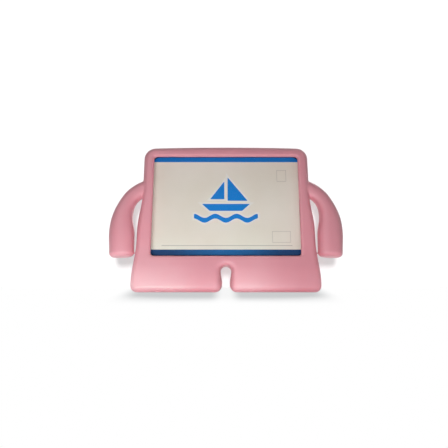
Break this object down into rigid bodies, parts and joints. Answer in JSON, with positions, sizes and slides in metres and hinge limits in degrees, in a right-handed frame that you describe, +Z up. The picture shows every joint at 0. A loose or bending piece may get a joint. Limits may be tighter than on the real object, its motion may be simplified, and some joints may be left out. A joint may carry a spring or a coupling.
{
  "type": "tablet case",
  "caption": "One-piece moulded children's tablet case with two arm handles and flared legs to stand on, and a printed display card in its bay.",
  "frame": {"origin": "on the ground below the middle of the case's bounding box", "axes": "+X to the viewer's right along the case, -Y to the viewer, +Z up; the case stands on its soles and leans back 10 degrees"},
  "size_m": [0.3518, 0.0682, 0.2197],
  "materials": {
    "case_foam": "satin, soft moulded surface",
    "printed_board": "matte print"
  },
  "bodies": {
    "root": {"case_body": "case_foam", "display_card": "printed_board"}
  },
  "joints": []
}
